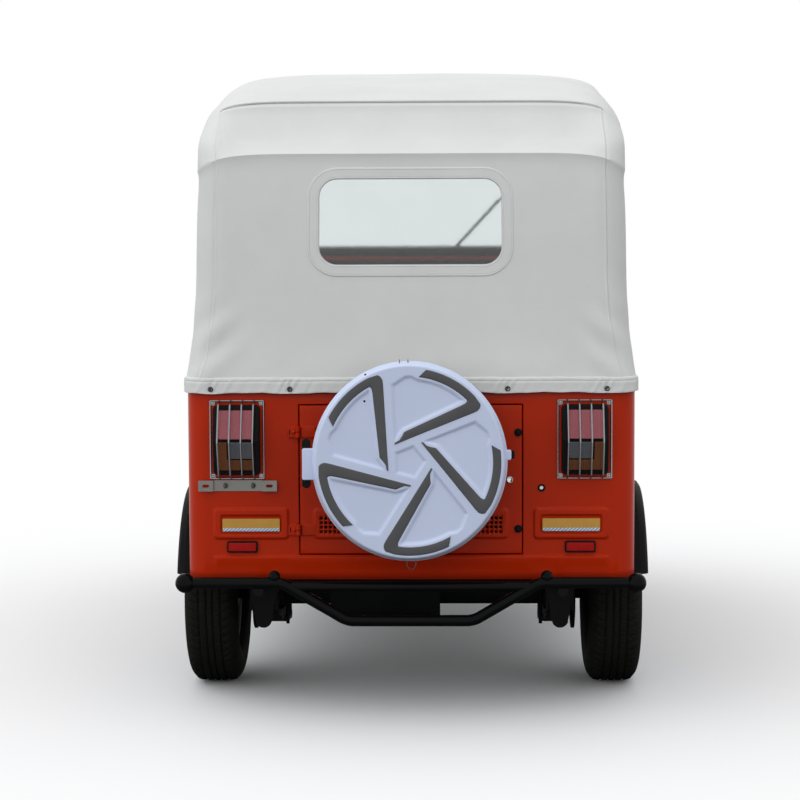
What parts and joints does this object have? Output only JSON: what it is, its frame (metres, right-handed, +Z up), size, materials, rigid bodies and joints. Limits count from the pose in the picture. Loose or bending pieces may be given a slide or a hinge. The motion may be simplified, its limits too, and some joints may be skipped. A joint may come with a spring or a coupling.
{
  "type": "auto rickshaw",
  "caption": "Three-wheeled passenger rickshaw with an orange sheet-metal body, canvas canopy, hinged rear door carrying a covered spare wheel, and a steered front fork.",
  "frame": {"origin": "on the ground, below the middle of the vehicle's outline in plan", "axes": "+X to the vehicle's right, +Y forwards, +Z up"},
  "size_m": [1.315, 2.8875, 1.785],
  "materials": {
    "orange_paint": "gloss orange-red sheet-metal paint",
    "black_paint": "semi-gloss black chassis paint",
    "black_plastic": "grained black moulding",
    "gloss_black": "gloss black powder coat",
    "canvas": "off-white coated canvas",
    "clear_vinyl": "clear vinyl sheet",
    "glass": "laminated glass",
    "seat_vinyl": "black seat vinyl",
    "tyre": "black rubber",
    "wheel_steel": "silver wheel paint",
    "axle_grey": "grey axle paint",
    "chrome": "bright chrome plate",
    "bare_steel": "bare pressed steel",
    "white_cover": "white moulded plastic",
    "grey_inlay": "dark grey plastic inlay",
    "red_lens": "red lens plastic",
    "clear_lens": "clear lens plastic",
    "amber_lens": "amber lens plastic",
    "gold_plate": "blank gold trim plate",
    "battery_case": "battery case"
  },
  "bodies": {
    "body": {"chassis_frame": "black_paint", "floor_pan": "black_paint", "rear_panel": "orange_paint", "quarter_panels": "orange_paint", "side_sills": "orange_paint", "wheel_housings": "black_plastic", "fender_flares": "black_plastic", "nose_shell": "orange_paint", "headlamps": "chrome", "front_lenses": "clear_lens", "grille": "black_plastic", "dashboard": "black_plastic", "windscreen_frame": "black_paint", "windscreen_glass": "glass", "wiper": "black_plastic", "canopy_frame": "black_paint", "canopy": "canvas", "rear_window": "clear_vinyl", "driver_seat_base": "black_paint", "driver_cushion": "seat_vinyl", "driver_backrest": "seat_vinyl", "driver_rail": "black_paint", "seat_box": "black_paint", "battery_pack": "battery_case", "bench_cushion": "seat_vinyl", "bench_backrest": "seat_vinyl", "rear_axle": "axle_grey", "leaf_springs": "black_paint", "rear_bumper": "gloss_black", "tail_lamps": "black_plastic", "tail_lenses": "red_lens", "reverse_lenses": "clear_lens", "turn_lenses": "amber_lens", "lamp_guards": "chrome", "plate_bracket": "bare_steel", "badge_plates": "gold_plate", "rear_reflectors": "red_lens", "mirrors": "black_plastic", "hinge_leaves": "orange_paint"},
    "fork": {"front_fork": "black_paint", "handlebar": "chrome", "front_mudguard": "orange_paint"},
    "front_wheel": {"front_rim": "wheel_steel", "front_tyre": "tyre"},
    "rear_wheel_left": {"rear_rim_left": "wheel_steel", "rear_tyre_left": "tyre"},
    "rear_wheel_right": {"rear_rim_right": "wheel_steel", "rear_tyre_right": "tyre"},
    "rear_door": {"rear_door": "orange_paint", "door_hinges": "orange_paint", "spare_carrier": "black_paint", "spare_tyre": "tyre", "spare_cover": "white_cover", "cover_inlays": "grey_inlay", "door_fittings": "black_plastic"}
  },
  "joints": [
    {"name": "steering", "type": "hinge", "parent": "body", "child": "fork", "pos_m": [0, 1.11622, 0.23498], "axis": [0, -0.4226, 0.9063], "range_deg": [-40, 40]},
    {"name": "front_wheel_spin", "type": "hinge", "parent": "fork", "child": "front_wheel", "pos_m": [0, 1.157, 0.254], "axis": [-1, 0, 0], "continuous": true},
    {"name": "rear_wheel_left_spin", "type": "hinge", "parent": "body", "child": "rear_wheel_left", "pos_m": [-0.565, -0.803, 0.254], "axis": [-1, 0, 0], "continuous": true},
    {"name": "rear_wheel_right_spin", "type": "hinge", "parent": "body", "child": "rear_wheel_right", "pos_m": [0.565, -0.803, 0.254], "axis": [-1, 0, 0], "continuous": true},
    {"name": "rear_door_swing", "type": "hinge", "parent": "body", "child": "rear_door", "pos_m": [-0.3, -1.263, 0.629], "axis": [0, 0, -1], "range_deg": [0, 70]}
  ]
}
